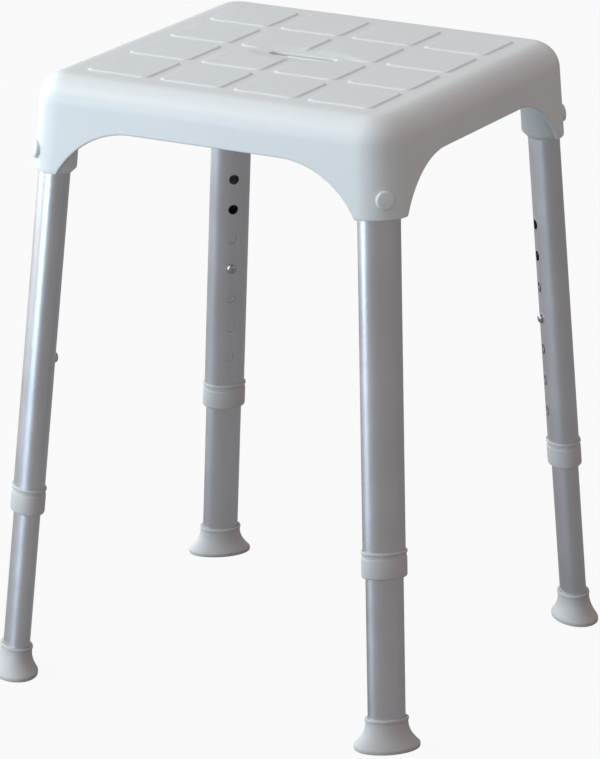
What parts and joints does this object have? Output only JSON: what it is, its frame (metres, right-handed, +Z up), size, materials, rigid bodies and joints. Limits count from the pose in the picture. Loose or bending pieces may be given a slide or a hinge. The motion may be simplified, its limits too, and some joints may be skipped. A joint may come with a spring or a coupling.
{
  "type": "shower stool",
  "caption": "Square moulded shower stool with a tiled, drained seat on splayed telescoping oval legs with snap-button height adjustment.",
  "frame": {"origin": "on the floor, below the middle of the seat", "axes": "+Z up; the seat's sides lie along X and Y, and each leg leans out from a corner along a diagonal; the drain slot runs along X"},
  "size_m": [0.36, 0.36, 0.465],
  "materials": {
    "seat_plastic": "satin moulded polyethylene, near white",
    "cap_plastic": "satin, near white",
    "collar_plastic": "satin, pale grey",
    "tube_aluminium": "satin anodised",
    "foot_rubber": "matt, pale grey",
    "button_steel": "satin",
    "steel": "plain"
  },
  "bodies": {
    "seat": {"seat_shell": "seat_plastic", "outer_tube_front_left": "tube_aluminium", "collar_front_left": "collar_plastic", "cover_cap_front_left": "cap_plastic", "socket_screw_front_left": "steel", "outer_tube_front_right": "tube_aluminium", "collar_front_right": "collar_plastic", "cover_cap_front_right": "cap_plastic", "socket_screw_front_right": "steel", "outer_tube_back_right": "tube_aluminium", "collar_back_right": "collar_plastic", "cover_cap_back_right": "cap_plastic", "socket_screw_back_right": "steel", "outer_tube_back_left": "tube_aluminium", "collar_back_left": "collar_plastic", "cover_cap_back_left": "cap_plastic", "socket_screw_back_left": "steel"},
    "lower_leg_front_left": {"inner_tube_front_left": "tube_aluminium", "foot_front_left": "foot_rubber", "foot_washer_front_left": "steel", "button_spring_front_left": "steel"},
    "button_front_left": {"snap_button_front_left": "button_steel"},
    "lower_leg_front_right": {"inner_tube_front_right": "tube_aluminium", "foot_front_right": "foot_rubber", "foot_washer_front_right": "steel", "button_spring_front_right": "steel"},
    "button_front_right": {"snap_button_front_right": "button_steel"},
    "lower_leg_back_right": {"inner_tube_back_right": "tube_aluminium", "foot_back_right": "foot_rubber", "foot_washer_back_right": "steel", "button_spring_back_right": "steel"},
    "button_back_right": {"snap_button_back_right": "button_steel"},
    "lower_leg_back_left": {"inner_tube_back_left": "tube_aluminium", "foot_back_left": "foot_rubber", "foot_washer_back_left": "steel", "button_spring_back_left": "steel"},
    "button_back_left": {"snap_button_back_left": "button_steel"}
  },
  "joints": [
    {"name": "leg_slide_front_left", "type": "slide", "parent": "seat", "child": "lower_leg_front_left", "axis": [-0.062, -0.062, -0.9961], "range_m": [-0.075, 0.075]},
    {"name": "button_press_front_left", "type": "slide", "parent": "lower_leg_front_left", "child": "button_front_left", "axis": [-0.7044, -0.7044, 0.0877], "range_m": [0, 0.0045], "stiffness_N_per_m": 2000, "springref_m": -0.003, "deforming": ["button_spring_front_left"]},
    {"name": "leg_slide_front_right", "type": "slide", "parent": "seat", "child": "lower_leg_front_right", "axis": [0.062, -0.062, -0.9961], "range_m": [-0.075, 0.075]},
    {"name": "button_press_front_right", "type": "slide", "parent": "lower_leg_front_right", "child": "button_front_right", "axis": [0.7044, -0.7044, 0.0877], "range_m": [0, 0.0045], "stiffness_N_per_m": 2000, "springref_m": -0.003, "deforming": ["button_spring_front_right"]},
    {"name": "leg_slide_back_right", "type": "slide", "parent": "seat", "child": "lower_leg_back_right", "axis": [0.062, 0.062, -0.9961], "range_m": [-0.075, 0.075]},
    {"name": "button_press_back_right", "type": "slide", "parent": "lower_leg_back_right", "child": "button_back_right", "axis": [0.7044, 0.7044, 0.0877], "range_m": [0, 0.0045], "stiffness_N_per_m": 2000, "springref_m": -0.003, "deforming": ["button_spring_back_right"]},
    {"name": "leg_slide_back_left", "type": "slide", "parent": "seat", "child": "lower_leg_back_left", "axis": [-0.062, 0.062, -0.9961], "range_m": [-0.075, 0.075]},
    {"name": "button_press_back_left", "type": "slide", "parent": "lower_leg_back_left", "child": "button_back_left", "axis": [-0.7044, 0.7044, 0.0877], "range_m": [0, 0.0045], "stiffness_N_per_m": 2000, "springref_m": -0.003, "deforming": ["button_spring_back_left"]}
  ]
}
